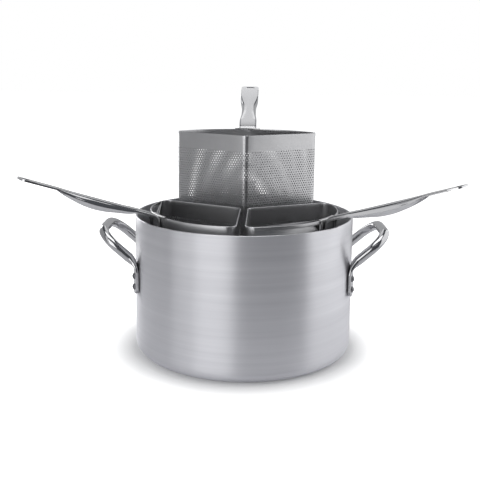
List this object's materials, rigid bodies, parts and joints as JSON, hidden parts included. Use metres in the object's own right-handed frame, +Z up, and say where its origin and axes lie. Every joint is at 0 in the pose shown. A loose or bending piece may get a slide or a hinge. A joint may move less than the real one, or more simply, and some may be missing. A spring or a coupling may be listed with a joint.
{
  "type": "pasta cooking pot with basket inserts",
  "caption": "Tall aluminium boiling pot with riveted loop handles and lift-out sector strainer baskets on long channel handles, one basket hung raised on the rim.",
  "frame": {"origin": "centre of the pot's flat base", "axes": "+Z up; -Y is the side that the gap between the two seated baskets faces; +X towards the right loop handle"},
  "size_m": [0.6408, 0.5959, 0.4248],
  "materials": {
    "pot_aluminium": "spun and brushed, satin",
    "handle_steel": "polished stainless tube",
    "rivet_steel": "plain dark domed heads",
    "basket_sheet": "satin stainless sheet, perforated",
    "basket_trim": "satin stainless strip",
    "basket_handle": "pressed and polished stainless sheet"
  },
  "bodies": {
    "pot": {"pot_body": "pot_aluminium", "pot_handle_left": "handle_steel", "pot_handle_right": "handle_steel", "pot_rivets_left": "rivet_steel", "pot_rivets_right": "rivet_steel"},
    "basket_left": {"basket_left_wall": "basket_sheet", "basket_left_floor_tray": "basket_sheet", "basket_left_rim_band": "basket_trim", "basket_left_handle_plate": "basket_trim", "basket_left_handle": "basket_handle", "basket_left_drain_hook": "basket_trim"},
    "basket_right": {"basket_right_wall": "basket_sheet", "basket_right_floor_tray": "basket_sheet", "basket_right_rim_band": "basket_trim", "basket_right_handle_plate": "basket_trim", "basket_right_handle": "basket_handle", "basket_right_drain_hook": "basket_trim"},
    "basket_back": {"basket_back_wall": "basket_sheet", "basket_back_floor_tray": "basket_sheet", "basket_back_rim_band": "basket_trim", "basket_back_handle_plate": "basket_trim", "basket_back_handle": "basket_handle", "basket_back_drain_hook": "basket_trim"}
  },
  "joints": [
    {"name": "basket_left_lift", "type": "slide", "parent": "pot", "child": "basket_left", "axis": [0, 0, 1], "range_m": [0, 0.25]},
    {"name": "basket_right_lift", "type": "slide", "parent": "pot", "child": "basket_right", "axis": [0, 0, 1], "range_m": [0, 0.25]},
    {"name": "basket_back_lift", "type": "slide", "parent": "pot", "child": "basket_back", "axis": [0, 0, 1], "range_m": [0, 0.13]}
  ]
}
